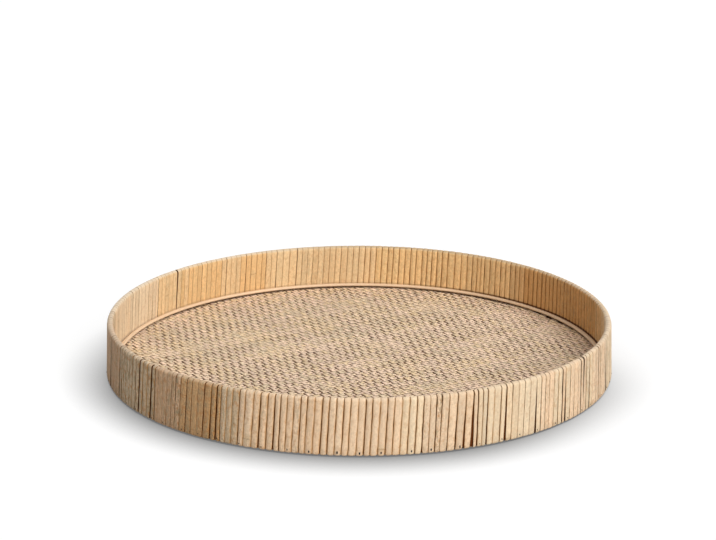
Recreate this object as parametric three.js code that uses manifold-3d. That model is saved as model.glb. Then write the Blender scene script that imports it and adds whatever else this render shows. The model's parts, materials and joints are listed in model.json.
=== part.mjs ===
// Round serving tray of rattan. Its wall is a bent wooden hoop with long lengths of rattan peel wound round it,
// turn beside turn: up the outside, over the rounded rim, down the inside and under the foot. A plywood board
// stands inside the wound hoop. A woven mat covers the board, and a bent reed covers the mat's edge.
// Millimetres, +Z up. The origin is the centre of the underside, and the front of the tray is at -Y.

import * as THREE from 'three';
import { mergeVertices } from 'three/addons/utils/BufferGeometryUtils.js';
import Module from 'manifold-3d';

// The tray as a whole
const TRAY_HEIGHT = 44;
const RIM_DIAMETER = 400; // outside, from crown to crown of the peel, where the rim starts to round over
const FOOT_SPREAD = 1.4; // how much farther out the wall stands at its foot than at the rim
const FIT_CLEARANCE = 0.3; // between two pieces that lie on each other

// The hoop inside the wall
const HOOP_THICKNESS = 2.6;
const HOOP_CORNER = 0.4; // radius of its two lower corners
const CORNER_STEPS = 1; // facets of a lower corner
const RIM_STEPS = 4; // facets of the half round at its upper edge

// The turns of rattan peel round the hoop, joined into bundles
const PEEL_THICKNESS = 1.0;
const GROOVE_DEPTH = 0.45; // from the crown of a turn to the groove beside it
const WRAP_LIFT = 0.5; // the lowest turns above the underside of the board
const BUNDLE_COUNT = 48;
const TURNS_PER_BUNDLE = 5;
const BUNDLE_GAP = 0.3; // between the sides of two bundles, on the inside of the wall

// The floor of the tray
const BOARD_THICKNESS = 5.5;
const MAT_THICKNESS = 1.8; // at its high points
const MAT_RELIEF = 0.9; // from its high points to its low points
const WARP_PITCH = 3.385;
const WEFT_PITCH = 4.07;
const STRANDS_PER_RISE = 3; // strands from a high point to the next low point
const WEAVE_TURN = 30.4; // degrees from +X to the wefts

// The reed in the corner between mat and wall, flat-oval
const REED_WIDTH = 3.8;
const REED_HEIGHT = 2.6;
const REED_SIDES = 8;

const FACETS_PER_BUNDLE = 2; // flat faces of the round pieces beside each bundle
const FACETS = BUNDLE_COUNT * FACETS_PER_BUNDLE;

// How a box is laid out: its faces in order, and the corners of the two triangles of each field of a face
const UPPER_FACE = 4;
const CORNERS_PER_FIELD = 6;

const manifold = await Module();
manifold.setup();

// The peel's back, grooves and crowns, as distances out from the surface of the hoop
const peelBack = FIT_CLEARANCE;
const peelCrown = peelBack + PEEL_THICKNESS;
const peelGroove = peelCrown - GROOVE_DEPTH;

// The wall's section lies in a plane of radius (x) and height (y), around the middle of the hoop.
const halfHoop = HOOP_THICKNESS / 2;
const halfWall = halfHoop + peelCrown;
const rimCentre = new THREE.Vector2(RIM_DIAMETER / 2 - halfWall, TRAY_HEIGHT - halfWall);
const cornerHeight = WRAP_LIFT + peelCrown + HOOP_CORNER;
const lean = Math.atan2(FOOT_SPREAD, rimCentre.y - cornerHeight);
const wallUp = new THREE.Vector2(-Math.sin(lean), Math.cos(lean));
const wallOut = new THREE.Vector2(Math.cos(lean), Math.sin(lean));

// A point at a height, on the line that runs down beside the middle of the wall. Outside distances are positive.
function wallPoint(distance, height) {
  const point = rimCentre.clone().addScaledVector(wallOut, distance);
  const drop = (point.y - height) / wallUp.y;
  return point.addScaledVector(wallUp, -drop);
}

// Points on an arc in the section. Angles are measured from the outward direction of the wall.
function arcPoints(centre, radius, from, to, steps) {
  const points = [];
  for (let step = 0; step <= steps; step += 1) {
    const turn = from + (to - from) * step / steps;
    const point = centre.clone();
    point.addScaledVector(wallOut, radius * Math.cos(turn));
    point.addScaledVector(wallUp, radius * Math.sin(turn));
    points.push(point);
  }
  return points;
}

// The closed line at a distance out from the hoop's surface: over the rim, down the inside, under the foot and up
function wallPath(distance) {
  const cornerInset = halfHoop - HOOP_CORNER;
  const cornerRadius = HOOP_CORNER + distance;
  const innerCorner = wallPoint(-cornerInset, cornerHeight);
  const outerCorner = wallPoint(cornerInset, cornerHeight);
  return [
    ...arcPoints(rimCentre, halfHoop + distance, 0, Math.PI, RIM_STEPS),
    ...arcPoints(innerCorner, cornerRadius, Math.PI, 1.5 * Math.PI, CORNER_STEPS),
    ...arcPoints(outerCorner, cornerRadius, 1.5 * Math.PI, 2 * Math.PI, CORNER_STEPS),
  ];
}

// The radius that is free inside the wound wall, up to a height
function innerRadius(height) {
  return wallPoint(-halfWall, height).x;
}

// A ring or disc from its section, turned so that its axis is +Z
function turned(section) {
  const geometry = new THREE.LatheGeometry(section, FACETS);
  geometry.rotateX(Math.PI / 2);
  return geometry;
}

// A disc between two heights, with its edge clear of the wall
function discGeometry(bottom, top) {
  const radius = innerRadius(top) - FIT_CLEARANCE;
  return turned([
    new THREE.Vector2(0, bottom),
    new THREE.Vector2(radius, bottom),
    new THREE.Vector2(radius, top),
    new THREE.Vector2(0, top),
  ]);
}

// A geometry as a solid that can be cut
function solidFrom(geometry) {
  geometry.deleteAttribute('normal');
  geometry.deleteAttribute('uv');
  const closed = mergeVertices(geometry);
  return new manifold.Manifold(new manifold.Mesh({
    numProp: 3,
    vertProperties: closed.getAttribute('position').array,
    triVerts: Uint32Array.from(closed.getIndex().array),
  }));
}

function geometryFrom(solid) {
  const mesh = solid.getMesh();
  const geometry = new THREE.BufferGeometry();
  geometry.setAttribute('position', new THREE.BufferAttribute(mesh.vertProperties, mesh.numProp));
  geometry.setIndex(new THREE.BufferAttribute(mesh.triVerts, 1));
  geometry.computeVertexNormals();
  return geometry;
}

// A block whose upper face goes up and down in turn both ways, as groups of strands do that cross each other.
// The face is folded along the lines between its high points, so that each low point is a pit with four sides.
function wovenBlock(top) {
  const stepAlong = STRANDS_PER_RISE * WARP_PITCH;
  const stepAcross = STRANDS_PER_RISE * WEFT_PITCH;
  const countAlong = 2 * Math.ceil(RIM_DIAMETER / stepAlong / 2);
  const countAcross = 2 * Math.ceil(RIM_DIAMETER / stepAcross / 2);
  const width = countAlong * stepAlong;
  const depth = countAcross * stepAcross;
  const block = new THREE.BoxGeometry(width, depth, top, countAlong, countAcross);

  const places = block.getAttribute('position');
  const isLow = (point) => {
    const step = Math.round(places.getX(point) / stepAlong) + Math.round(places.getY(point) / stepAcross);
    return step % 2 !== 0;
  };
  const corners = block.getIndex();
  const upper = block.groups[UPPER_FACE];
  for (let first = upper.start; first < upper.start + upper.count; first += CORNERS_PER_FIELD) {
    const [a, b, d, , c] = corners.array.subarray(first, first + CORNERS_PER_FIELD);
    if (isLow(b)) {
      corners.array.set([a, b, c, a, c, d], first);
    }
  }
  for (let point = 0; point < places.count; point += 1) {
    if (places.getZ(point) > 0 && isLow(point)) {
      places.setZ(point, places.getZ(point) - MAT_RELIEF);
    }
  }
  block.translate(0, 0, top / 2);
  block.rotateZ(THREE.MathUtils.degToRad(WEAVE_TURN));
  return block;
}

// The woven mat: a disc with the relief of the weave on its upper face. The disc is thicker until it is cut.
function matGeometry(bottom, top) {
  const disc = solidFrom(discGeometry(bottom, top + MAT_RELIEF));
  return geometryFrom(disc.intersect(solidFrom(wovenBlock(top))));
}

// The band inside the wall
function hoopGeometry() {
  const section = wallPath(0);
  section.push(section[0].clone());
  return turned(section);
}

// The reed, with its outer side clear of the wall
function reedGeometry(seatHeight) {
  const centreHeight = seatHeight + REED_HEIGHT / 2;
  const centreRadius = innerRadius(seatHeight + REED_HEIGHT) - FIT_CLEARANCE - REED_WIDTH / 2;
  const section = [];
  for (let side = 0; side <= REED_SIDES; side += 1) {
    const turn = 2 * Math.PI * side / REED_SIDES;
    section.push(new THREE.Vector2(
      centreRadius + REED_WIDTH / 2 * Math.cos(turn),
      centreHeight + REED_HEIGHT / 2 * Math.sin(turn),
    ));
  }
  return turned(section);
}

// A point of the wall's section, carried round the axis
function around(sectionPoint, angle) {
  return new THREE.Vector3(
    sectionPoint.x * Math.cos(angle),
    sectionPoint.x * Math.sin(angle),
    sectionPoint.y,
  );
}

// A closed solid through outlines of equal length, the last of which joins the first again
function solidThroughOutlines(outlines) {
  const length = outlines[0].length;
  const faces = [];
  for (let station = 0; station < outlines.length; station += 1) {
    const here = station * length;
    const there = (station + 1) % outlines.length * length;
    for (let place = 0; place < length; place += 1) {
      const next = (place + 1) % length;
      faces.push(here + place, here + next, there + next);
      faces.push(here + place, there + next, there + place);
    }
  }
  const geometry = new THREE.BufferGeometry().setFromPoints(outlines.flat());
  geometry.setIndex(faces);
  geometry.computeVertexNormals();
  return geometry;
}

// One bundle of turns, centred on +X. Its outer face has a crown for each turn and a groove between two.
function bundleGeometry() {
  const crownPath = wallPath(peelCrown);
  const groovePath = wallPath(peelGroove);
  const backPath = wallPath(peelBack);
  const gapAngle = BUNDLE_GAP / innerRadius(TRAY_HEIGHT);
  const halfAngle = Math.PI / BUNDLE_COUNT - gapAngle / 2;
  const edges = 2 * TURNS_PER_BUNDLE;

  const outlines = crownPath.map((crown, station) => {
    const outline = [];
    for (let edge = 0; edge <= edges; edge += 1) {
      const angle = halfAngle * (2 * edge / edges - 1);
      const onCrown = edge % 2 === 1;
      outline.push(around(onCrown ? crown : groovePath[station], angle));
    }
    for (let facet = FACETS_PER_BUNDLE; facet >= 0; facet -= 1) {
      const angle = halfAngle * (2 * facet / FACETS_PER_BUNDLE - 1);
      outline.push(around(backPath[station], angle));
    }
    return outline;
  });
  return solidThroughOutlines(outlines);
}

function finish(color, roughness) {
  return new THREE.MeshStandardMaterial({ color, roughness, metalness: 0 });
}

const tray = new THREE.Group();

function add(name, geometry, material) {
  const mesh = new THREE.Mesh(geometry, material);
  mesh.name = name;
  tray.add(mesh);
  return mesh;
}

// The board is the lowest piece, and the mat and the reed lie on it in turn.
const matSeat = BOARD_THICKNESS + FIT_CLEARANCE;
const reedSeat = matSeat + MAT_THICKNESS + FIT_CLEARANCE;
add('base_board', discGeometry(0, BOARD_THICKNESS), finish(0xc9a878, 0.75));
add('woven_mat', matGeometry(matSeat, matSeat + MAT_THICKNESS), finish(0xc9a985, 0.7));
add('base_ring', reedGeometry(reedSeat), finish(0xe0bb8c, 0.5));
add('hoop', hoopGeometry(), finish(0xb9925f, 0.75));

// The bundles differ in tone, as lengths of peel do.
const palePeel = new THREE.Color(0xe2c498);
const goldenPeel = new THREE.Color(0xc79d65);
const bundle = bundleGeometry();
for (let place = 0; place < BUNDLE_COUNT; place += 1) {
  const tone = (1 + Math.sin(place * place)) / 2;
  const color = palePeel.clone().lerp(goldenPeel, tone);
  const name = `rattan_wrap_${String(place + 1).padStart(2, '0')}`;
  const mesh = add(name, bundle, finish(color, 0.45));
  mesh.rotation.z = 2 * Math.PI * place / BUNDLE_COUNT - Math.PI / 2;
}

export default tray;
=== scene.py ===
# Looks of a round serving tray of rattan. Its wall is a hoop with lengths of rattan peel wound round it, turn
# beside turn. A reed lies in the corner between the wall and a woven mat, which covers a plywood board.
# Metres, +Z up. The origin is the centre of the underside, and the front of the tray is at -Y.

import json
import math
import random

import bpy
from mathutils import Matrix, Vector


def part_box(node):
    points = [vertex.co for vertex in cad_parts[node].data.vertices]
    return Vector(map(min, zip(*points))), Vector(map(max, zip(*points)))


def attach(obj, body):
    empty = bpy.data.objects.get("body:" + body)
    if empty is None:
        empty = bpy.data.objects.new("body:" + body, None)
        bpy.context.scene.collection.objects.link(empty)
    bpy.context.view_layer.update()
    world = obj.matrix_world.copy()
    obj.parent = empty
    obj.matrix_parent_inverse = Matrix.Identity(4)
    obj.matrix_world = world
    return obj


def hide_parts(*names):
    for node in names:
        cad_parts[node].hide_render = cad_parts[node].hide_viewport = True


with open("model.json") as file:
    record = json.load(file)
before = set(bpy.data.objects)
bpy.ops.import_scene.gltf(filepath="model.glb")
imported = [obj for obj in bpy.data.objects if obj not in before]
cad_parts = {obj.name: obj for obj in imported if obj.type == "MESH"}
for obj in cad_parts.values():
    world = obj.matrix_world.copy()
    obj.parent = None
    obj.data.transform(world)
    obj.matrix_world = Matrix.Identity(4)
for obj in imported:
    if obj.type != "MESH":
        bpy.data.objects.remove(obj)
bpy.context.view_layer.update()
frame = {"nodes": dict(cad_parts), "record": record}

MM = 0.001

# The wound wall, as its solids have it
RIM_CENTRE_RADIUS = 197.4 * MM  # middle of the half round at the top of the wall
RIM_CENTRE_HEIGHT = 41.4 * MM
CORNER_HEIGHT = 2.2 * MM  # of the hoop's lower corners
FOOT_SPREAD = 1.4 * MM  # how much farther out the foot stands than the rim
HOOP_HALF_THICKNESS = 1.3 * MM
HOOP_CORNER = 0.4 * MM
PEEL_BACK = 0.3 * MM  # from the hoop to the back of the peel
PEEL_THICKNESS = 1.0 * MM
REED_WIDTH = 3.8 * MM

TURNS = 240
TURN_STEP = 2 * math.pi / TURNS
BACK_FROM = 105  # degrees round from the front to either side, where the back begins
SPINE_LENGTH = math.hypot(FOOT_SPREAD, RIM_CENTRE_HEIGHT - CORNER_HEIGHT)
LEAN = math.asin(FOOT_SPREAD / SPINE_LENGTH)
WRAPS = [part["node"] for part in frame["record"]["subparts"] if part["node"].startswith("rattan_wrap")]

REED_LOW, REED_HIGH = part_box("base_ring")
WELD_DISTANCE = 0.01 * MM


def tone(red, green, blue):
    """A colour from its display values, 0 to 255, as shaders take it."""
    channels = []
    for value in (red, green, blue):
        share = value / 255
        channels.append(share / 12.92 if share <= 0.04045 else ((share + 0.055) / 1.055) ** 2.4)
    return (*channels, 1.0)


# Node trees

def feed(tree, socket, value):
    """Gives a socket a field or a plain value."""
    if isinstance(value, Field):
        tree.links.new(value.socket, socket)
    else:
        socket.default_value = value


class Field:
    """A value in a node tree. A formula of fields adds the nodes that work it out."""

    def __init__(self, tree, socket):
        self.tree = tree
        self.socket = socket

    def math(self, operation, *others, clamp=False):
        node = self.tree.nodes.new("ShaderNodeMath")
        node.operation = operation
        node.use_clamp = clamp
        for place, value in enumerate((self, *others)):
            feed(self.tree, node.inputs[place], value)
        return Field(self.tree, node.outputs[0])

    def __add__(self, other):
        return self.math("ADD", other)

    def __sub__(self, other):
        return self.math("SUBTRACT", other)

    def __mul__(self, other):
        return self.math("MULTIPLY", other)

    def __truediv__(self, other):
        return self.math("DIVIDE", other)

    def __rsub__(self, other):
        return self.math("MULTIPLY_ADD", -1.0, other)

    def __neg__(self):
        return self.math("MULTIPLY", -1.0)

    __radd__ = __add__
    __rmul__ = __mul__

    def absolute(self):
        return self.math("ABSOLUTE")

    def power(self, exponent):
        return self.math("POWER", exponent)

    def sine(self):
        return self.math("SINE")

    def cosine(self):
        return self.math("COSINE")

    def share(self, start, end):
        """How far this value has come from start to end, from 0 to 1."""
        return ((self - start) / (end - start)).math("ADD", 0.0, clamp=True)

    def smooth(self, start, end):
        """Like share, with a soft start and end."""
        node = self.tree.nodes.new("ShaderNodeMapRange")
        node.interpolation_type = "SMOOTHSTEP"
        feed(self.tree, node.inputs["Value"], self)
        feed(self.tree, node.inputs["From Min"], start)
        feed(self.tree, node.inputs["From Max"], end)
        return Field(self.tree, node.outputs["Result"])

    def near(self, value):
        """1 where this counting number is the given one."""
        return self.math("COMPARE", value, 0.4)

    def mixed(self, other, amount):
        """This value where amount is 0, the other where it is 1."""
        return self + (other - self) * amount


def add_node(tree, kind, inputs=None, **settings):
    node = tree.nodes.new(kind)
    for setting, value in settings.items():
        setattr(node, setting, value)
    for name, value in (inputs or {}).items():
        feed(tree, node.inputs[name], value)
    return node


def combined(tree, x, y, z):
    node = add_node(tree, "ShaderNodeCombineXYZ", {"X": x, "Y": y, "Z": z})
    return Field(tree, node.outputs[0])


def separated(tree, vector):
    node = add_node(tree, "ShaderNodeSeparateXYZ", {"Vector": vector})
    return [Field(tree, output) for output in node.outputs]


def noise(tree, vector, scale, detail=2.0, roughness=0.5):
    node = add_node(tree, "ShaderNodeTexNoise", {"Vector": vector, "Scale": scale, "Detail": detail,
                                                 "Roughness": roughness})
    return Field(tree, node.outputs[0])


# Geometry Nodes

def new_growth(name, lengths, counts=None):
    """A Geometry Nodes tree with named inputs. Returns it with the fields of its inputs."""
    tree = bpy.data.node_groups.new(name, "GeometryNodeTree")
    tree.interface.new_socket("Geometry", in_out="INPUT", socket_type="NodeSocketGeometry")
    for title, value in lengths.items():
        tree.interface.new_socket(title, in_out="INPUT", socket_type="NodeSocketFloat").default_value = value
    for title, value in (counts or {}).items():
        tree.interface.new_socket(title, in_out="INPUT", socket_type="NodeSocketInt").default_value = value
    tree.interface.new_socket("Finish", in_out="INPUT", socket_type="NodeSocketMaterial")
    tree.interface.new_socket("Geometry", in_out="OUTPUT", socket_type="NodeSocketGeometry")
    start = tree.nodes.new("NodeGroupInput")
    return tree, {output.name: Field(tree, output) for output in start.outputs if output.name}


def stored(tree, geometry, name, value):
    """Keeps a value on each point under a name."""
    node = add_node(tree, "GeometryNodeStoreNamedAttribute", {"Geometry": geometry, "Name": name, "Value": value},
                    data_type="FLOAT", domain="POINT")
    return Field(tree, node.outputs["Geometry"])


def read(tree, name):
    """The value that each point keeps under a name."""
    node = add_node(tree, "GeometryNodeInputNamedAttribute", {"Name": name}, data_type="FLOAT")
    return Field(tree, node.outputs["Attribute"])


def place_of(tree):
    """The three fields of the position of each point."""
    return separated(tree, Field(tree, add_node(tree, "GeometryNodeInputPosition").outputs[0]))


def strand_blank(tree, sides, stations):
    """A closed tube. Its points know their station along it and their corner round it, both from 0."""
    node = add_node(tree, "GeometryNodeMeshCylinder",
                    {"Vertices": sides, "Side Segments": stations, "Radius": 1.0, "Depth": 1.0},
                    fill_type="NGON")
    tube = Field(tree, node.outputs["Mesh"])
    x, y, z = place_of(tree)
    tube = stored(tree, tube, "station", ((z + 0.5) * stations).math("ROUND"))
    turned = y.math("ARCTAN2", x) * (sides / (2 * math.pi))
    corner = (turned.math("ROUND") + float(sides)).math("MODULO", float(sides))
    return stored(tree, tube, "corner", corner)


def one_on_each_point(tree, points, blank):
    """A copy of the blank for each point. The copies carry the point's values."""
    node = add_node(tree, "GeometryNodeInstanceOnPoints", {"Points": points, "Instance": blank})
    real = add_node(tree, "GeometryNodeRealizeInstances", {"Geometry": Field(tree, node.outputs["Instances"])})
    return Field(tree, real.outputs["Geometry"])


def moved_to(tree, geometry, x, y, z):
    node = add_node(tree, "GeometryNodeSetPosition", {"Geometry": geometry, "Position": combined(tree, x, y, z)})
    return Field(tree, node.outputs["Geometry"])


def welded(tree, geometry):
    """Joins points that lie on each other, as where a strand is trimmed."""
    node = add_node(tree, "GeometryNodeMergeByDistance", {"Geometry": geometry, "Distance": WELD_DISTANCE})
    return Field(tree, node.outputs["Geometry"])


def drawn(tree, low, high, identity, seed):
    """A random value between two limits, the same on all points with the same identity."""
    node = add_node(tree, "FunctionNodeRandomValue", {"ID": identity, "Seed": seed}, data_type="FLOAT")
    node.inputs[2].default_value = low
    node.inputs[3].default_value = high
    return Field(tree, node.outputs[1])


def finish_growth(tree, geometry, finish):
    """Smooth faces, the material and the output."""
    smooth = add_node(tree, "GeometryNodeSetShadeSmooth", {"Geometry": geometry})
    painted = add_node(tree, "GeometryNodeSetMaterial",
                       {"Geometry": Field(tree, smooth.outputs["Geometry"]), "Material": finish})
    end = tree.nodes.new("NodeGroupOutput")
    tree.links.new(painted.outputs["Geometry"], end.inputs["Geometry"])


def seed_points(name, rows, colours=()):
    """A mesh of loose points. rows gives each point's values by name, which the tree reads."""
    mesh = bpy.data.meshes.new(name)
    mesh.from_pydata([(0.0, 0.0, 0.0)] * len(rows), [], [])
    for title in rows[0]:
        kind = "FLOAT_COLOR" if title in colours else "FLOAT"
        layer = mesh.attributes.new(title, kind, "POINT")
        for place, row in enumerate(rows):
            if title in colours:
                layer.data[place].color = row[title]
            else:
                layer.data[place].value = row[title]
    return mesh


def grown(name, tree, seeds, finish, drop):
    """Runs a tree on its seed points, and keeps what grows as a plain piece at the origin."""
    holder = bpy.data.objects.new(name + "_seeds", seeds)
    bpy.context.scene.collection.objects.link(holder)
    modifier = holder.modifiers.new("growth", "NODES")
    modifier.node_group = tree
    for item in tree.interface.items_tree:
        if item.name == "Finish":
            modifier[item.identifier] = finish
    depsgraph = bpy.context.evaluated_depsgraph_get()
    mesh = bpy.data.meshes.new_from_object(holder.evaluated_get(depsgraph), preserve_all_data_layers=True,
                                           depsgraph=depsgraph)
    mesh.name = name
    for title in drop:
        if title in mesh.attributes:
            mesh.attributes.remove(mesh.attributes[title])
    bpy.data.objects.remove(holder)
    piece = bpy.data.objects.new(name, mesh)
    bpy.context.scene.collection.objects.link(piece)
    return piece


# Materials

def new_finish(name, roughness):
    material = bpy.data.materials.new(name)
    material.use_nodes = True
    tree = material.node_tree
    shader = tree.nodes["Principled BSDF"]
    shader.inputs["Roughness"].default_value = roughness
    return material, tree, shader


def painted_value(tree, name):
    """A value that the piece's points carry."""
    return Field(tree, add_node(tree, "ShaderNodeAttribute", attribute_name=name).outputs["Fac"])


def painted_colour(tree, name):
    return Field(tree, add_node(tree, "ShaderNodeAttribute", attribute_name=name).outputs["Color"])


def object_place(tree):
    return Field(tree, tree.nodes.new("ShaderNodeTexCoord").outputs["Object"])


def blend(tree, first, second, amount):
    """The first colour where amount is 0, the second where it is 1."""
    node = add_node(tree, "ShaderNodeMix", data_type="RGBA", blend_type="MIX")
    feed(tree, node.inputs["Factor"], amount)
    feed(tree, node.inputs[6], first)
    feed(tree, node.inputs[7], second)
    return Field(tree, node.outputs[2])


def scaled_colour(tree, colour, amount):
    """A colour made lighter or darker by a field."""
    node = add_node(tree, "ShaderNodeVectorMath", operation="SCALE")
    feed(tree, node.inputs[0], colour if isinstance(colour, Field) else colour[:3])
    feed(tree, node.inputs["Scale"], amount)
    return Field(tree, node.outputs[0])


def paint(tree, shader, colour, roughness=None):
    feed(tree, shader.inputs["Base Color"], colour)
    if roughness is not None:
        feed(tree, shader.inputs["Roughness"], roughness)


def rough_surface(tree, shader, height, distance):
    node = add_node(tree, "ShaderNodeBump", {"Height": height, "Distance": distance, "Strength": 1.0})
    tree.links.new(node.outputs["Normal"], shader.inputs["Normal"])


RING_SPACING = 0.83  # along the peel, between the rings where leaves grew
HALF_TURN = 2.6  # millimetres across half a turn, for grain that runs along the peel


def peel_finish():
    """The skin side of split rattan: fine fibres, grey blotches, and a ring where a leaf once grew."""
    material, tree, shader = new_finish("rattan_peel", 0.42)
    across = painted_value(tree, "across")
    along = painted_value(tree, "along")
    blotching = painted_value(tree, "blotching")
    colour = painted_colour(tree, "peel_tone")

    fibres = noise(tree, combined(tree, across * HALF_TURN, along * 40.0, along * 3.0), 6.0, 3.0, 0.6)
    streaks = noise(tree, combined(tree, across * HALF_TURN, along * 18.0, along * 7.0), 1.3)
    drift = noise(tree, combined(tree, along * 9.0, 0.0, 0.0), 1.0, 1.0)
    blotches = noise(tree, combined(tree, across * HALF_TURN, along * 260.0, 3.0), 0.35, 4.0, 0.65)
    weather = noise(tree, combined(tree, across * 2.0 + 9.0, along * 420.0, 8.0), 0.5, 4.0, 0.6)
    ripple = noise(tree, combined(tree, across * 1.3, along * 420.0, 1.0), 1.0, 3.0, 0.6)

    mottle = blotching * 0.45 + 0.34
    light = 0.57 + fibres * 0.34 + streaks * 0.30 + drift * 0.14 + (ripple - 0.5) * mottle
    colour = scaled_colour(tree, colour, light)
    blotch = blotches.smooth(0.47, 0.62) * blotching
    colour = blend(tree, colour, tone(160, 142, 110), blotch * 0.8)
    stain = weather.smooth(0.5, 0.64) * (blotching * 0.8 + 0.2)
    colour = blend(tree, colour, tone(186, 126, 70), stain * 0.7)

    ring_place = (along + drift * 0.05).math("PINGPONG", RING_SPACING / 2)
    ring = ring_place.smooth(0.0010, 0.0003)
    halo = ring_place.smooth(0.005, 0.001)
    colour = blend(tree, colour, tone(206, 180, 138), halo * 0.3)
    colour = blend(tree, colour, tone(150, 112, 70), ring * 0.25)

    # The top of the rim is painted a pale grey, most at the back, as painted shade that dulls and darkens the rim
    # there, and it is yellowed at the right of the back
    x, y, z = separated(tree, object_place(tree))
    on_rim = z.smooth(RIM_CENTRE_HEIGHT + 0.7 * MM, RIM_CENTRE_HEIGHT + 2.1 * MM)
    rim_shade_share = (y / RIM_CENTRE_RADIUS).smooth(-1.0, 0.4) * 0.5 + 0.25
    yellowed = ((x * 0.34 + y * 0.94) / RIM_CENTRE_RADIUS).smooth(0.6, 1.0) * 0.8
    colour = blend(tree, colour, tone(222, 203, 178), on_rim * rim_shade_share)
    colour = blend(tree, colour, tone(190, 160, 118), on_rim * yellowed)
    # The edges of each turn are painted brown, as painted shade in the grooves between the turns
    edge = across.absolute().smooth(0.78, 1.0)
    colour = blend(tree, colour, tone(158, 104, 58), edge * 0.45)

    # The sides of a turn sink to its neighbours, and are painted brown and darker brown as painted shade in the
    # grooves, and nearly black beside a wide gap as painted shade in the gap
    sunk = painted_value(tree, "sunk") + (ripple - 0.5) * 0.4 + (weather - 0.5) * 0.3
    colour = blend(tree, colour, tone(200, 148, 88), sunk.smooth(0.13, 0.58) * 0.66)
    colour = blend(tree, colour, tone(160, 86, 28), sunk.smooth(0.6, 0.95) * 0.9)
    colour = blend(tree, colour, tone(62, 34, 12), painted_value(tree, "beside_gap").smooth(0.2, 0.9) * 0.95)

    # A dark line on the inside of the wall just over the reed, most at the right, is painted shade in the corner
    # between the wall and the reed
    radius = (x * x + y * y).math("SQRT")
    inside = radius.smooth(RIM_CENTRE_RADIUS + 0.5 * MM, RIM_CENTRE_RADIUS - 0.5 * MM)
    over_reed = z.smooth(REED_HIGH[2] + 1.3 * MM, REED_HIGH[2] + 0.3 * MM) * inside
    corner_shade = over_reed * ((x / RIM_CENTRE_RADIUS).smooth(0.1, 0.7) * 0.7 + 0.15)
    colour = blend(tree, colour, tone(84, 36, 14), corner_shade)

    shader.inputs["Specular IOR Level"].default_value = 0.25
    paint(tree, shader, colour, 0.46 + streaks * 0.16 + blotch * 0.2 + sunk.smooth(0.1, 0.6) * 0.3)
    relief = fibres * 0.4 + streaks * 0.3 + ripple * (blotching * 5.0 + 1.2) + ring * 0.8
    rough_surface(tree, shader, relief, 0.25 * MM)
    return material


def cane_finish():
    """The strands of the mat, with painted shade where they dip under each other and where they lie deep."""
    material, tree, shader = new_finish("woven_cane", 0.6)
    shader.inputs["Specular IOR Level"].default_value = 0.12
    across = painted_value(tree, "across")
    along = painted_value(tree, "along")
    depth = painted_value(tree, "depth")
    colour = painted_colour(tree, "strand_tone")
    place = object_place(tree)
    fibres = noise(tree, combined(tree, across * 1.8, along * 60.0, along * 5.0), 4.0, 3.0, 0.6)
    patches = noise(tree, place, 16.0, 3.0, 0.6)
    stains = noise(tree, place, 34.0, 3.0)
    tints = noise(tree, combined(tree, along * 60.0, across * 0.2, 3.0), 1.0)
    specks = noise(tree, place, 620.0, 2.0, 0.6)
    light = 0.475 + fibres * 0.34 + patches * 0.20 + stains * 0.16 + painted_value(tree, "float_light") * 0.2
    light = light + specks * 0.36
    colour = scaled_colour(tree, colour, light)
    colour = blend(tree, colour, tone(246, 228, 206), (fibres + specks - 0.5).smooth(0.5, 0.75) * 0.35)
    colour = blend(tree, colour, tone(222, 190, 132), stains.smooth(0.5, 0.72) * 0.2)
    colour = blend(tree, colour, tone(204, 186, 166), tints.smooth(0.5, 0.75) * 0.4)
    # Painted shade where the strands dip under each other and where they lie deep
    dip = painted_value(tree, "dipping").smooth(0.3, 0.85) * 0.88
    colour = blend(tree, colour, tone(96, 46, 12), dip)
    colour = blend(tree, colour, tone(64, 28, 8), depth.smooth(0.3, 0.8) * 0.96)
    # Painted shade along the edges of the strands, in the gaps between them
    side = across.absolute() + (fibres - 0.5) * 0.4
    colour = blend(tree, colour, tone(140, 84, 40), side.smooth(0.75, 1.1) * 0.5)

    # Painted shade on the mat along the edge of the reed, most at the back, broken up by the stains
    x, y, _ = separated(tree, place)
    radius = (x * x + y * y).math("SQRT")
    reed_edge = REED_HIGH[0] - REED_WIDTH
    mat_reed_shade_share = ((y / radius).smooth(0.2, 0.8) * 0.5 + 0.15) * (stains.smooth(0.3, 0.55) * 0.6 + 0.4)
    shade = radius.smooth(reed_edge - 1.6 * MM, reed_edge - 0.3 * MM) * mat_reed_shade_share
    colour = blend(tree, colour, tone(84, 46, 22), shade)
    paint(tree, shader, colour, 0.5 + fibres * 0.25)
    rough_surface(tree, shader, fibres, 0.1 * MM)
    return material


def reed_finish():
    """The core of rattan, split flat: pale, with pores that run along it."""
    material, tree, shader = new_finish("reed", 0.5)
    across = painted_value(tree, "across")
    along = painted_value(tree, "along")
    pores = noise(tree, combined(tree, across * 3.0, along * 45.0, 0.0), 5.0, 3.0, 0.65)
    streaks = noise(tree, combined(tree, across * 3.0, along * 12.0, 4.0), 1.2)
    drift = noise(tree, combined(tree, along * 6.0, 0.0, 2.0), 1.0, 1.0)
    light = 0.72 + pores * 0.18 + streaks * 0.18 + drift * 0.18
    colour = scaled_colour(tree, tone(228, 197, 162), light)
    colour = blend(tree, colour, tone(150, 108, 70), pores.smooth(0.62, 0.74) * 0.5)

    # A dark brown line on the side of the reed against the wall, most at the right, is painted shade in the corner
    # between the reed and the wall
    x = separated(tree, object_place(tree))[0]
    reed_shade_share = (x / RIM_CENTRE_RADIUS).smooth(0.2, 0.7) * 0.5 + 0.25
    reed_corner_shade = painted_value(tree, "wallward").smooth(0.5, 0.95) * reed_shade_share
    colour = blend(tree, colour, tone(104, 62, 32), reed_corner_shade)
    paint(tree, shader, colour, 0.42 + pores * 0.25)
    rough_surface(tree, shader, pores * 0.6 + streaks * 0.4, 0.2 * MM)
    return material


PLY = 1.1 * MM  # the thickness of one ply of the board


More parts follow.
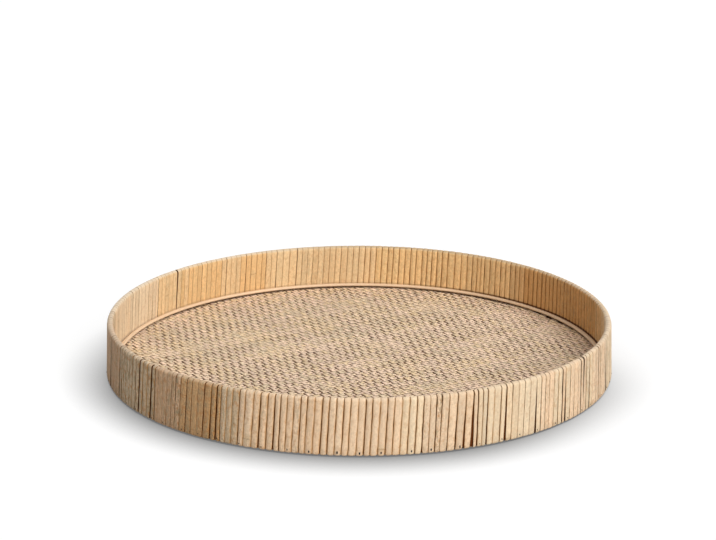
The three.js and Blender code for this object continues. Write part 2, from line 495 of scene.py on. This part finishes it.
def board_finish():
    """Plywood with its long, wavy figure, and its plies on the edge."""
    material, tree, shader = new_finish("plywood", 0.62)
    x, y, z = separated(tree, object_place(tree))
    sway = noise(tree, combined(tree, x * 2.2, y * 3.0, 0.0), 1.0)
    figure = noise(tree, combined(tree, x * 0.9 + sway * 0.3, y * 9.0 + sway * 2.4, 1.0), 3.2, 3.0, 0.55)
    bands = (figure * 22.0).sine() * 0.5 + 0.5
    pores = noise(tree, combined(tree, x * 18.0, y * 420.0, z * 420.0), 2.0, 2.0, 0.6)
    plies = (z * (math.pi / PLY)).sine().smooth(-0.2, 0.2)
    light = 0.82 + bands * 0.10 + pores * 0.16
    colour = scaled_colour(tree, tone(214, 184, 142), light)
    colour = blend(tree, colour, tone(160, 120, 80), pores.smooth(0.58, 0.72) * 0.45)
    facing = Field(tree, add_node(tree, "ShaderNodeNewGeometry").outputs["Normal"])
    on_edge = separated(tree, facing)[2].absolute().smooth(0.7, 0.3)
    colour = blend(tree, colour, tone(138, 100, 64), plies * on_edge * 0.7)
    paint(tree, shader, colour)
    rough_surface(tree, shader, pores * 0.7 + bands * 0.3, 0.15 * MM)
    return material


def hoop_finish():
    """Bare bent wood in the shade of the peel, painted a dark brown as painted shade in the gaps between the
    turns.
    """
    material, tree, shader = new_finish("bentwood", 0.8)
    shader.inputs["Specular IOR Level"].default_value = 0.1
    x, y, z = separated(tree, object_place(tree))
    round_place = x.math("ARCTAN2", y)
    grain = noise(tree, combined(tree, round_place * 12.0, z * 900.0, 0.0), 1.5, 3.0, 0.6)
    colour = scaled_colour(tree, tone(104, 54, 20), 0.6 + grain * 0.6)
    paint(tree, shader, colour)
    rough_surface(tree, shader, grain, 0.2 * MM)
    return material


def brad_finish():
    """The blued steel of the brads, a little rusty."""
    material, tree, shader = new_finish("blued_steel", 0.5)
    shader.inputs["Metallic"].default_value = 0.3
    rust = noise(tree, object_place(tree), 900.0)
    colour = blend(tree, tone(30, 24, 20), tone(74, 42, 24), rust.smooth(0.5, 0.75))
    paint(tree, shader, colour, 0.4 + rust * 0.3)
    return material


# The wound peel

PALE = tone(240, 214, 178)
STRAW = tone(236, 202, 154)
GOLDEN = tone(236, 194, 138)
HONEY = tone(250, 210, 152)
AMBER = tone(222, 172, 112)
TAWNY = tone(204, 162, 114)
GREYISH = tone(214, 188, 154)
PEACH = tone(240, 208, 172)
ROSY = tone(214, 176, 138)

# Where each length of peel starts, in degrees round from the front, its tone, its blotches from 0 to 1, and how
# much its turns are crowned, from 0 to 1
PEEL_LENGTHS = [
    (-180, STRAW, 0.1, 0.4),
    (-172, STRAW, 0.2, 0.25),
    (-163.8, STRAW, 0.15, 0.12),
    (-158, GOLDEN, 0.1, 0.3),
    (-149.5, STRAW, 0.15, 0.15),
    (-143.5, GOLDEN, 0.2, 0.2),
    (-131.5, STRAW, 0.2, 0.3),
    (-127.5, STRAW, 0.2, 0.15),
    (-121.5, PALE, 0.1, 0.15),
    (-92, GREYISH, 0.4, 0.5),
    (-84, ROSY, 0.5, 0.2),
    (-72.2, ROSY, 0.7, 0.3),
    (-66, GREYISH, 1.0, 0.4),
    (-57, GREYISH, 1.0, 0.8),
    (-49.8, ROSY, 0.7, 0.3),
    (-45, ROSY, 1.0, 0.3),
    (-41.5, TAWNY, 0.8, 0.4),
    (-38.6, TAWNY, 0.6, 0.15),
    (-34.8, TAWNY, 0.7, 0.9),
    (-31.3, GREYISH, 0.7, 0.8),
    (-26, PEACH, 0.3, 0.9),
    (-12, PEACH, 0.15, 0.95),
    (-3, PEACH, 0.1, 0.9),
    (8, PALE, 0.15, 0.9),
    (13.5, PEACH, 0.3, 0.6),
    (17.2, PEACH, 0.9, 0.5),
    (18.8, PEACH, 0.2, 0.7),
    (25, PALE, 0.1, 0.7),
    (33.5, PALE, 0.15, 0.3),
    (40.5, PEACH, 0.3, 0.3),
    (46, PALE, 0.2, 0.6),
    (50.4, PEACH, 0.3, 0.3),
    (57.5, PALE, 0.3, 0.5),
    (61, PEACH, 0.4, 0.3),
    (72, PALE, 0.4, 0.3),
    (88, STRAW, 0.2, 0.5),
    (94, GOLDEN, 0.4, 0.7),
    # The amber of these two lengths is painted shade on the inside of the wall at the right, which lies in shade
    (100, AMBER, 0.4, 0.7),
    (118, AMBER, 0.2, 0.9),
    (132, GOLDEN, 0.1, 0.7),
    (138, HONEY, 0.2, 0.7),
    (176, STRAW, 0.1, 0.6),
]

# The gaps that stand out: degrees round from the front where the gap crosses the rim, and its width in
# millimetres at the rim and at the foot
WIDE_GAPS = [
    (-73.2, 1, 2.4), (-65.6, 0.8, 1), (-56.9, 0.7, 0.8), (-55.3, 0.4, 0.6), (-53.9, 0.3, 0.6),
    (-50.4, 1.4, 1.3), (-41, 0.5, 0.7), (-38.9, 0.6, 0.5), (-34.4, 0.4, 0.4), (-32.4, 0.4, 0.4),
    (-30.9, 0.4, 0.4), (-20.6, 0.2, 0.5), (-17.4, 0.2, 0.6), (13.6, 0.1, 0.5), (17.4, 0.3, 0.3), (19.2, 0.4, 1),
    (20.8, 0.4, 0.8), (22.7, 0.4, 1), (24.7, 0.3, 1.5), (27.9, 0.5, 1.4), (32.6, 0.4, 1.6), (40.9, 0.2, 1.5),
    (46.4, 0.5, 0.8), (50.4, 0.4, 2.2), (57.9, 2.4, 0.6), (60.9, 0.3, 1.6), (66.5, 1, 0.3), (72.6, 0.4, 2.2),
    (132.1, 0.1, 0.1), (136.6, 0.15, 0.1), (146.1, 0.15, 0.1), (149.6, 0.1, 0.1), (158.1, 0.1, 0.1),
    (-163.9, 0.3, 0.3), (-158.4, 0.1, 0.4), (-149.9, 0.2, 0.3), (-144.1, 0.3, 0.3), (-136.4, 0.2, 0.2),
    (-127.9, 1.2, 0.3), (-120.4, 0.2, 0.6), (-117.9, 0, 0.5), (-111, 0.4, 0), (-107.5, 0.5, 0), (-103, 0.4, 0),
    (-99, 0.3, 0), (-95, 0.3, 0), (-91.5, 0.3, 0),
]


def length_at(angle):
    """The length of peel that covers an angle, in degrees."""
    found = PEEL_LENGTHS[0]
    for entry in PEEL_LENGTHS:
        if entry[0] <= angle:
            found = entry
    return found


UNEVEN_SIDE = 0.10  # how far the side of a turn lies off at most, as a share of a step
UNEVEN_AT_BACK = 0.7  # what of that is left at the back
FLAT = 0.25  # turns with no more crown than this lie close, with no gap
CROWNED_GAP = 0.14  # the largest chance gap between fully crowned turns, in millimetres
RAGGED = 1.2  # how many degrees the change from one length of peel to the next lies off at most


def peel_sides():
    """The random draw that goes on, where each turn begins, in degrees round from the front, and the gap before
    it: its width at the rim in metres, and how much each of its sides opens towards the foot, as an angle."""
    draw = random.Random(41)
    step = math.degrees(TURN_STEP)
    sides = []
    for place in range(TURNS):
        uneven = draw.uniform(-UNEVEN_SIDE, UNEVEN_SIDE)
        if abs(-180 + step * place) > BACK_FROM:
            uneven *= UNEVEN_AT_BACK
        sides.append(-180 + step * (place + uneven))
    gaps = []
    for side in sides:
        crowned = length_at(side)[3]
        gaps.append(draw.uniform(0.0, CROWNED_GAP) * crowned * MM if crowned > FLAT else 0.0)

    wedges = [0.0] * TURNS
    held = set()
    for angle, at_rim, at_foot in WIDE_GAPS:
        place = min(range(TURNS), key=lambda candidate: abs(sides[candidate] - angle))
        shift = angle - sides[place]
        sides[place] = angle
        gaps[place] = at_rim * MM
        wedges[place] = (at_foot - at_rim) / 2 * MM / RIM_CENTRE_RADIUS
        # The neighbours make way, and at the back more of them, so that no other gap opens beside it
        makes_way = 2
        if abs(angle) > BACK_FROM:
            makes_way = 4
            held.add(place)
        for away in range(1, makes_way):
            for neighbour in ((place - away) % TURNS, (place + away) % TURNS):
                if neighbour not in held:
                    sides[neighbour] += shift * (1 - away / makes_way)
    return draw, sides, gaps, wedges


def peel_turns():
    """Each turn of peel: where it starts and ends under the foot, its width, its tone and its surface."""
    draw, sides, gaps, wedges = peel_sides()
    turns = []
    for place in range(TURNS):
        here = sides[place]
        there = sides[(place + 1) % TURNS] + (360 if place == TURNS - 1 else 0)
        before = gaps[place] / RIM_CENTRE_RADIUS
        after = gaps[(place + 1) % TURNS] / RIM_CENTRE_RADIUS
        low = math.radians(here) + before / 2
        high = math.radians(there) - after / 2
        _, colour, blotching, crowned = length_at(here + draw.uniform(-RAGGED, RAGGED))
        light = draw.uniform(0.90, 1.05)
        warm = draw.uniform(-0.05, 0.05)
        turns.append({
            "middle": (low + high) / 2,
            "half_width": (high - low) / 2,
            "gap_before": before / 2,
            "gap_after": after / 2,
            "wedge_before": wedges[place],
            "wedge_after": wedges[(place + 1) % TURNS],
            "peel_tone": (colour[0] * light, colour[1] * light * (1 - warm / 2),
                          colour[2] * light * (1 - warm), 1),
            "blotching": min(1.0, blotching * draw.uniform(0.6, 1.4)),
            "crown": crowned * draw.uniform(0.85, 1.15),
            "thickness": draw.uniform(0.92, 1.04),
            "turn": float(place),
        })

    # A turn ends where the next one starts, or close to it
    for place, turn in enumerate(turns):
        before = turns[place - 1]["middle"] - (2 * math.pi if place == 0 else 0)
        after = turns[(place + 1) % TURNS]["middle"] + (2 * math.pi if place == TURNS - 1 else 0)
        turn["start"] = (before + turn["middle"]) / 2
        turn["end"] = (turn["middle"] + after) / 2
        if abs(turn["middle"]) > math.radians(BACK_FROM):  # there the turns lie close, and all lean alike
            turn["start"] = turn["middle"] - TURN_STEP / 2
            turn["end"] = turn["middle"] + TURN_STEP / 2
    return turns


def winding_tree():
    """Winds a turn of peel round the hoop for each seed point: up the outside, over the rim, down the inside."""
    tree, given = new_growth("peel_winding", {
        "Rim Radius": RIM_CENTRE_RADIUS,
        "Rim Height": RIM_CENTRE_HEIGHT,
        "Spine Length": SPINE_LENGTH,
        "Lean": LEAN,
        "Hoop Half Thickness": HOOP_HALF_THICKNESS,
        "Hoop Corner": HOOP_CORNER,
        "Peel Back": PEEL_BACK,
        "Peel Thickness": PEEL_THICKNESS,
        "Waver": 0.12 * MM,
        "Edge Waver": 0.25 * MM,
    }, {"Seed": 7})
    sides = 10
    top_corners = 6
    legs = [1, 2, 7, 7, 7, 2, 1]  # stations of foot, corner, outside, rim, inside, corner and foot
    blank = strand_blank(tree, sides, sum(legs))
    winding = one_on_each_point(tree, given["Geometry"], blank)

    # How far each point has come on each leg, from 0 to 1
    station = read(tree, "station")
    progress = []
    passed = 0
    for leg in legs:
        progress.append(station.share(float(passed), float(passed + leg)))
        passed += leg
    foot_out, corner_out, up, over, down, corner_in, foot_in = progress
    rim_turn = over * math.pi
    footward = 1.0 - (up - down)

    # The profile: a crowned top, and a flat back against the hoop
    corner = read(tree, "corner")
    top_turn = corner * (math.pi / top_corners)
    on_back = corner.math("GREATER_THAN", top_corners + 0.5)
    back_across = (corner - top_corners).math("MULTIPLY_ADD", -0.4, 0.8)
    across = (-top_turn.cosine()).mixed(back_across, on_back)

    # How much of the turn is done, by length
    inset = given["Hoop Half Thickness"] - given["Hoop Corner"]
    rim_length = (given["Hoop Half Thickness"] + given["Peel Back"]) * math.pi
    corner_length = (given["Hoop Corner"] + given["Peel Back"]) * (math.pi / 2)
    total = (given["Spine Length"] + inset + corner_length) * 2.0 + rim_length
    done = ((foot_out + foot_in) * inset + (corner_out + corner_in) * corner_length
            + (up + down) * given["Spine Length"] + over * rim_length) / total
    along = (read(tree, "turn") + done) * total

    # The crown of the profile is pressed flatter over the rim, and is uneven along the edges
    edge_place = combined(tree, along * 75.0, across.math("SIGN") * 7.0, given["Seed"])
    uneven = noise(tree, edge_place, 1.0)
    pressed = (1.0 - rim_turn.sine()) * 0.45 + 0.55
    crown = read(tree, "crown") * pressed * uneven.smooth(0.3, 0.6).math("MULTIPLY_ADD", 0.45, 0.5)
    top_lift = (1.0 - crown) + crown * top_turn.sine().absolute().power(1.3)
    shallow = top_lift.mixed(0.0, on_back)
    lift = shallow * read(tree, "thickness") * given["Peel Thickness"]

    # The way round the hoop, measured from the middle of the rim, out and up along the leaning wall
    facing = (corner_out + corner_in) * (math.pi / 2) + rim_turn - math.pi / 2
    reach = given["Hoop Corner"] + given["Peel Back"] + lift
    inset_out = inset * (foot_out - foot_in)
    out = inset_out * rim_turn.cosine() + reach * facing.cosine()
    rise = inset_out * rim_turn.sine() + reach * facing.sine() - footward * given["Spine Length"]
    lean = given["Lean"]
    radius = given["Rim Radius"] + out * lean.cosine() - rise * lean.sine()
    height = given["Rim Height"] + out * lean.sine() + rise * lean.cosine()

    # The way round the tray: a turn leans from its start to its end, wavers, and keeps off its wide gaps
    wander = noise(tree, combined(tree, along * 45.0, given["Seed"], 0.0), 1.0, 1.0) - 0.5
    start = read(tree, "start")
    middle = start + (read(tree, "end") - start) * done + wander * given["Waver"] / given["Rim Radius"]
    loose = uneven.smooth(0.4, 0.7) * read(tree, "crown") * given["Edge Waver"] / given["Rim Radius"]
    before = (-across).math("MAXIMUM", 0.0)
    after = across.math("MAXIMUM", 0.0)
    wedge_before = read(tree, "wedge_before")
    wedge_after = read(tree, "wedge_after")
    angle = middle + across * (read(tree, "half_width") - loose)
    angle = angle + (before * wedge_before - after * wedge_after) * footward

    # How wide the gap beside each edge is, for the painted shade line there. 1 is a half gap of 0.8 mm.
    before_gap = (read(tree, "gap_before") + wedge_before * footward) * before.power(8.0)
    after_gap = (read(tree, "gap_after") + wedge_after * footward) * after.power(8.0)
    beside_gap = (before_gap + after_gap) * given["Rim Radius"] / (0.8 * MM)

    winding = stored(tree, winding, "across", across)
    winding = stored(tree, winding, "along", along)
    winding = stored(tree, winding, "sunk", 1.0 - shallow)
    winding = stored(tree, winding, "beside_gap", beside_gap)
    winding = moved_to(tree, winding, radius * angle.sine(), -(radius * angle.cosine()), height)
    finish_growth(tree, winding, given["Finish"])
    return tree


# The woven mat

MAT_WARP_PITCH = 3.385 * MM  # from the middle of one warp to that of the next
MAT_WEFT_PITCH = 4.07 * MM
MAT_TURN = math.radians(30.4)  # of the wefts from +X
MAT_SEAT = 5.8 * MM  # the underside of the strands
MAT_THICKNESS = 1.8 * MM
MAT_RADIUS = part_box("woven_mat")[1][0] - 0.4 * MM

MAT_TONES = [
    tone(232, 204, 172),
    tone(236, 206, 178),
    tone(226, 198, 160),
    tone(230, 200, 174),
    tone(220, 196, 164),
]

# The warps pass over two and under two wefts, and the wefts over one and under one warp. Pinch is how much of its
# width a strand loses at one end of each float, and parting how far it is pushed aside there.
WARP_SIZES = {
    "Crossing Period": 4 * MAT_WEFT_PITCH,
    "Float Length": 4 * MAT_WEFT_PITCH * 0.43,
    "Swing": 0.38 * MM,
    "Strand Thickness": 0.60 * MM,
    "Pinch": 0.25,
    "Pinched End": -1.0,
    "Parting": 0.0,
    "Dip Shade": 0.0,
    "Flatness": 0.45,
}
WEFT_SIZES = {
    "Crossing Period": 2 * MAT_WARP_PITCH,
    "Float Length": 2 * MAT_WARP_PITCH * 0.40,
    "Swing": 0.28 * MM,
    "Strand Thickness": 0.50 * MM,
    "Pinch": 0.5,
    "Pinched End": 1.0,
    "Parting": -0.2 * MM,
    "Dip Shade": 1.0,
    "Flatness": 0.8,
}


def warp_shift(place):
    """Neighbouring warps float over different pairs of wefts."""
    return MAT_WEFT_PITCH * (2 * (place % 2) - 0.5)


def weft_shift(place):
    """The wefts float in pairs, over every other warp."""
    return MAT_WARP_PITCH * (1 if place % 4 < 2 else 0)


def mat_strands(pitch, period_shift, widest, seed):
    """The strands of one direction: how far each lies from the middle, and where its first float is. widest is
    the largest half width, as a share of the pitch."""
    draw = random.Random(seed)
    half_count = int(MAT_RADIUS / pitch)
    strands = []
    for place in range(-half_count, half_count + 1):
        offset = pitch * place
        if abs(offset) > MAT_RADIUS - pitch * 0.7:
            continue
        colour = draw.choice(MAT_TONES)
        light = draw.uniform(0.92, 1.07)
        strands.append({
            "offset": offset + draw.uniform(-0.06, 0.06) * pitch,
            "shift": period_shift(place),
            "strand_tone": (*(channel * light for channel in colour[:3]), 1),
            "half_width": pitch * widest * draw.uniform(0.92, 1.0),
            "parting": (place % 2) * 2.0 - 1.0,
            "strand": float(place + half_count),
        })
    return strands


def strand_tree(name, sizes, section, under_stations, turn, seed):
    """Lays a strand for each seed point, over and under those that cross it, and trims it to the round. section is
    the number of corners on its upper side, and under_stations the number of stations where it passes under."""
    tree, given = new_growth(name, {
        **sizes,
        "Mat Radius": MAT_RADIUS,
        "Middle Height": MAT_SEAT + MAT_THICKNESS / 2,
        "Waver": 0.3 * MM,
        "Stretch": 1.6 * MM,
    }, {"Seed": seed})
    over_stations = 3
    places = over_stations + under_stations
    periods = int(2 * MAT_RADIUS / sizes["Crossing Period"]) + 3
    blank = strand_blank(tree, section + 1, periods * places)
    weave = one_on_each_point(tree, given["Geometry"], blank)

    # Where each station lies on its float, from -1 to 1, and how the float differs from the others
    station = read(tree, "station")
    period = (station / places + 0.001).math("FLOOR")
    place = station - period * places
    under = place.math("GREATER_THAN", over_stations - 0.5)
    in_under = (place - over_stations - (under_stations - 1) / 2) * (2 / max(under_stations - 1, 1))
    in_float = (place - 1.0).mixed(in_under, under)
    float_number = read(tree, "strand") * 500.0 + period * 2.0 + under
    lively = drawn(tree, 0.8, 1.15, float_number, seed)
    slip = drawn(tree, -0.05, 0.05, float_number, seed + 20) * given["Crossing Period"]
    reach = drawn(tree, 0.86, 1.06, float_number, seed + 40)

    along = (period + under * 0.5 - periods / 2) * given["Crossing Period"]
    along = along + in_float * given["Float Length"] * 0.5 * reach + read(tree, "shift") + slip
    bowed = in_float.near(0.0) * 0.3 + 0.7
    level = under.math("MULTIPLY_ADD", -2.0, 1.0) * bowed * given["Swing"] * lively

    offset = read(tree, "offset")
    chord = (given["Mat Radius"] * given["Mat Radius"] - offset * offset).math("SQRT")
    trimmed = along.math("MINIMUM", chord).math("MAXIMUM", -chord)
    beyond = (along - trimmed).absolute().math("GREATER_THAN", WELD_DISTANCE)
    level = level.mixed(0.0, beyond)

    # The section: a crowned top, and one corner below. A strand is pinched at one end of each float.
    dipping = (in_float * given["Pinched End"]).math("MAXIMUM", 0.0).mixed(0.7, under)
    slack = noise(tree, combined(tree, trimmed, offset * given["Pinched End"], 3.0), 28.0).smooth(0.3, 0.65)
    dipping = dipping * (slack * 0.75 + 0.35) * drawn(tree, 0.75, 1.25, float_number, seed + 80)
    wide = 1.0 - dipping * given["Pinch"]
    corner = read(tree, "corner")
    on_back = corner.math("GREATER_THAN", section - 0.5)
    top_across = corner.math("MULTIPLY_ADD", 2 / (section - 1), -1.0)
    across = top_across.mixed(0.0, on_back)
    lift = (1.0 - across * across * (1.0 - given["Flatness"])).mixed(0.0, on_back)
    wander_place = combined(tree, trimmed * 30.0, read(tree, "strand") * 3.1, given["Seed"])
    wander = noise(tree, wander_place, 1.0, 1.0) - 0.5
    side = offset + across * read(tree, "half_width") * wide + wander * given["Waver"]
    side = side + read(tree, "parting") * given["Parting"] * dipping
    height = given["Middle Height"] + level + (lift - 0.5) * given["Strand Thickness"]

    weave = stored(tree, weave, "across", across)
    weave = stored(tree, weave, "along", trimmed + read(tree, "strand") * 0.4)
    weave = stored(tree, weave, "float_light", drawn(tree, -0.5, 0.5, float_number, seed + 60))
    weave = stored(tree, weave, "depth", (level / given["Swing"]).math("MULTIPLY_ADD", -0.5, 0.5))
    weave = stored(tree, weave, "dipping", dipping * given["Dip Shade"])

    # The whole mat is a little uneven, except at its edge
    x = trimmed * math.cos(turn) - side * math.sin(turn)
    y = trimmed * math.sin(turn) + side * math.cos(turn)
    inward = (1.0 - ((x * x + y * y) / MAT_RADIUS ** 2).power(2.0)) * given["Stretch"]
    x_stretch = (noise(tree, combined(tree, x, y, 0.0), 22.0, 1.0) - 0.5) * inward
    y_stretch = (noise(tree, combined(tree, x, y, 5.0), 22.0, 1.0) - 0.5) * inward
    weave = moved_to(tree, weave, x + x_stretch, y + y_stretch, height)
    weave = welded(tree, weave)
    finish_growth(tree, weave, given["Finish"])
    return tree


# The reed in the corner

REED_LENGTH = 1.22  # along the middle of the ring


def reed_tree():
    """Bends a reed into a ring. Its two ends are cut slanting and lie on each other."""
    tree, given = new_growth("reed_ring", {
        "Middle Radius": REED_HIGH[0] - REED_WIDTH / 2,
        "Seat Height": REED_LOW[2],
        "Reed Width": REED_WIDTH,
        "Reed Height": REED_HIGH[2] - REED_LOW[2],
        "Overlap": math.radians(9),
        "First End": math.radians(-14),
        "Waver": 0.3 * MM,
    })
    sides = 16
    stations = 260
    blank = strand_blank(tree, sides, stations)
    reed = one_on_each_point(tree, given["Geometry"], blank)
    done = read(tree, "station") / stations
    turn = read(tree, "corner") * (2 * math.pi / sides)
    span = given["Overlap"] + 2 * math.pi
    tip = given["Overlap"] / span
    first = done.share(0.0, tip)
    last = done.share(1.0 - tip, 1.0)
    across = turn.cosine()
    rise = turn.sine() * 0.5 + 0.5
    bottom = last * 0.94
    top = first * 0.94 + 0.06
    height = given["Seat Height"] + given["Reed Height"] * (bottom + (top - bottom) * rise)
    wander = noise(tree, combined(tree, done * 40.0, 0.0, 0.0), 1.0, 1.0) - 0.5
    radius = given["Middle Radius"] + given["Reed Width"] * 0.5 * across + wander * given["Waver"]
    angle = given["First End"] + span * done

    reed = stored(tree, reed, "across", across + rise * 0.6)
    reed = stored(tree, reed, "along", done * REED_LENGTH)
    reed = stored(tree, reed, "wallward", across)
    reed = moved_to(tree, reed, radius * angle.sine(), -(radius * angle.cosine()), height)
    finish_growth(tree, reed, given["Finish"])
    return tree


# The brads

BRADS = 70
DRIVEN_DEEPER = 0.6  # what shows of a head that is driven deeper
BRAD_HEIGHT = 3.2 * MM
PROUD_MIDDLE = 6  # degrees round from the front, about which the brads stand proud
PROUD_REACH = 17  # degrees to either side of that. Farther round they are driven deeper.


def brad_places(turns):
    """A brad in every third or fourth turn, low on the outside."""
    draw = random.Random(12)
    places = []
    for count in range(BRADS):
        turn = turns[round(count * TURNS / BRADS) % TURNS]
        middle = turn["start"] + (turn["end"] - turn["start"]) * 0.04
        proud = 1.0 if abs(math.degrees(middle) - PROUD_MIDDLE) < PROUD_REACH else DRIVEN_DEEPER
        places.append({
            "angle": middle + draw.uniform(-0.2, 0.2) * turn["half_width"],
            "height": BRAD_HEIGHT + draw.uniform(-0.35, 0.35) * MM,
            "size": draw.uniform(0.85, 1.1) * proud,
        })
    return places


def brad_tree():
    """Sets a low, upright oval head on the peel at each seed point."""
    wall_half = HOOP_HALF_THICKNESS + PEEL_BACK + PEEL_THICKNESS
    foot_radius = RIM_CENTRE_RADIUS + wall_half + math.tan(LEAN) * (RIM_CENTRE_HEIGHT - BRAD_HEIGHT)
    tree, given = new_growth("brad_heads", {
        "Crown Radius": foot_radius,
        "Head Half Width": 0.65 * MM,
        "Head Half Length": 1.15 * MM,
        "Head Height": 0.35 * MM,
        "Sink": 0.1 * MM,
    })
    ball = add_node(tree, "GeometryNodeMeshUVSphere", {"Segments": 8, "Rings": 5, "Radius": 1.0})
    heads = one_on_each_point(tree, given["Geometry"], Field(tree, ball.outputs["Mesh"]))
    x, y, z = place_of(tree)
    size = read(tree, "size")
    angle = read(tree, "angle") + x * size * given["Head Half Width"] / given["Crown Radius"]
    radius = given["Crown Radius"] - y * given["Head Height"] - given["Sink"]
    height = read(tree, "height") + z * size * given["Head Half Length"]
    heads = moved_to(tree, heads, radius * angle.sine(), -(radius * angle.cosine()), height)
    finish_growth(tree, heads, given["Finish"])
    return tree


# Making the pieces

turns = peel_turns()
wall = grown("rattan_winding", winding_tree(), seed_points("turns", turns, ["peel_tone"]), peel_finish(),
             ["station", "corner", "start", "end", "middle", "half_width", "thickness", "turn",
              "crown", "gap_before", "gap_after", "wedge_before", "wedge_after"])
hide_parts(*WRAPS)
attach(wall, "root")

cane = cane_finish()
strand_layers = ["station", "corner", "offset", "shift", "half_width", "parting", "strand"]
warp_rows = mat_strands(MAT_WARP_PITCH, warp_shift, widest=0.52, seed=5)
weft_rows = mat_strands(MAT_WEFT_PITCH, weft_shift, widest=0.54, seed=6)
warp_growth = strand_tree("mat_warp_weave", WARP_SIZES, section=5, under_stations=3,
                          turn=MAT_TURN - math.pi / 2, seed=3)
weft_growth = strand_tree("mat_weft_weave", WEFT_SIZES, section=3, under_stations=1, turn=MAT_TURN, seed=4)
warps = grown("mat_warp", warp_growth, seed_points("warps", warp_rows, ["strand_tone"]), cane, strand_layers)
wefts = grown("mat_weft", weft_growth, seed_points("wefts", weft_rows, ["strand_tone"]), cane, strand_layers)
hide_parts("woven_mat")
for strands in (warps, wefts):
    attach(strands, "root")

reed = grown("reed_ring", reed_tree(), seed_points("reed", [{"turn": 0.0}]), reed_finish(),
             ["station", "corner", "turn"])
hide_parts("base_ring")
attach(reed, "root")

brads = grown("brad_heads", brad_tree(), seed_points("brads", brad_places(turns)), brad_finish(),
              ["angle", "height", "size"])
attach(brads, "root")

for node, finish in (("base_board", board_finish()), ("hoop", hoop_finish())):
    for slot in frame["nodes"][node].material_slots:
        slot.material = finish


# The floor, the light and the camera

def white_floor():
    """A white floor that shows white to the camera. Close to the tray it shows a painted shadow, made from how
    open the floor is, and a little of the lamps' own shadow.
    """
    material, tree, shader = new_finish("white_floor", 0.9)
    shader.inputs["Base Color"].default_value = (0.5, 0.5, 0.5, 1)
    shader.inputs["Specular IOR Level"].default_value = 0.0

    # Painted shadow close to the tray: it follows how open the floor is, and is painted deepest at the front and
    # on the left
    open_sky = add_node(tree, "ShaderNodeAmbientOcclusion", {"Distance": 42 * MM}, samples=16)
    x, y, _ = separated(tree, object_place(tree))
    shade = 1.7 - x.smooth(0.08, 0.2) * 0.9 - (-x).smooth(0.15, 0.21) * 0.2 - y.smooth(-0.1, 0.05) * 0.6
    openness = Field(tree, open_sky.outputs["AO"]).power(shade).math("MAXIMUM", 0.2)
    white = scaled_colour(tree, (0.2, 0.2, 0.2), openness)
    seen = add_node(tree, "ShaderNodeBsdfDiffuse", {"Color": white})
    glow = add_node(tree, "ShaderNodeEmission", {"Color": (1, 1, 1, 1), "Strength": openness * 0.83})
    shown = add_node(tree, "ShaderNodeAddShader")
    tree.links.new(seen.outputs[0], shown.inputs[0])
    tree.links.new(glow.outputs[0], shown.inputs[1])
    rays = tree.nodes.new("ShaderNodeLightPath")
    choice = add_node(tree, "ShaderNodeMixShader")
    tree.links.new(rays.outputs["Is Camera Ray"], choice.inputs["Fac"])
    tree.links.new(shader.outputs[0], choice.inputs[1])
    tree.links.new(shown.outputs[0], choice.inputs[2])
    tree.links.new(choice.outputs[0], tree.nodes["Material Output"].inputs["Surface"])
    return material


bpy.ops.mesh.primitive_plane_add(size=16, location=(0, 0, -0.1 * MM))
floor = bpy.context.object
floor.name = "floor"
floor.data.materials.append(white_floor())

world = bpy.data.worlds.new("studio")
bpy.context.scene.world = world
world.use_nodes = True
sky = world.node_tree
background = sky.nodes["Background"]
background.inputs["Color"].default_value = (1, 1, 1, 1)
background.inputs["Strength"].default_value = 0.36
backdrop = add_node(sky, "ShaderNodeBackground", {"Color": (1, 1, 1, 1), "Strength": 1.0})
rays = sky.nodes.new("ShaderNodeLightPath")
any_view = Field(sky, rays.outputs["Is Camera Ray"])
for ray in ("Is Glossy Ray", "Is Transmission Ray"):
    any_view = any_view.math("MAXIMUM", Field(sky, rays.outputs[ray]))
sight = add_node(sky, "ShaderNodeMixShader")
feed(sky, sight.inputs["Fac"], any_view)
sky.links.new(background.outputs[0], sight.inputs[1])
sky.links.new(backdrop.outputs[0], sight.inputs[2])
sky.links.new(sight.outputs[0], sky.nodes["World Output"].inputs["Surface"])


def soft_lamp(name, azimuth, elevation, spread, strength):
    """A broad, even light from far off. The azimuth is measured round from the front, to the right."""
    lamp = bpy.data.lights.new(name, "SUN")
    lamp.angle = math.radians(spread)
    lamp.energy = strength
    holder = bpy.data.objects.new(name, lamp)
    turn = Matrix.Rotation(math.radians(azimuth), 4, "Z") @ Matrix.Rotation(math.radians(90 - elevation), 4, "X")
    holder.matrix_world = turn @ Matrix.Translation((0, 0, 2))
    bpy.context.scene.collection.objects.link(holder)


soft_lamp("key_lamp", 37, 38, 45, 2.65)
soft_lamp("back_lamp", 185, 52, 50, 0.42)

CAMERA_DISTANCE = 1.8
CAMERA_ELEVATION = math.radians(19.0145)
CAMERA_TILT = math.radians(-16.563)
CAMERA_PAN = math.radians(0.036)
CAMERA_ROLL = math.radians(0.1256)

camera = bpy.data.cameras.new("camera")
camera.sensor_width = 36
camera.lens = 112.65
viewer = bpy.data.objects.new("camera", camera)
stand = Matrix.Translation((0, -CAMERA_DISTANCE * math.cos(CAMERA_ELEVATION),
                            CAMERA_DISTANCE * math.sin(CAMERA_ELEVATION)))
look = Matrix.Rotation(CAMERA_PAN, 4, "Z") @ Matrix.Rotation(math.pi / 2 + CAMERA_TILT, 4, "X")
viewer.matrix_world = stand @ look @ Matrix.Rotation(CAMERA_ROLL, 4, "Z")
bpy.context.scene.collection.objects.link(viewer)
bpy.context.scene.camera = viewer
bpy.context.scene.view_settings.view_transform = "Standard"
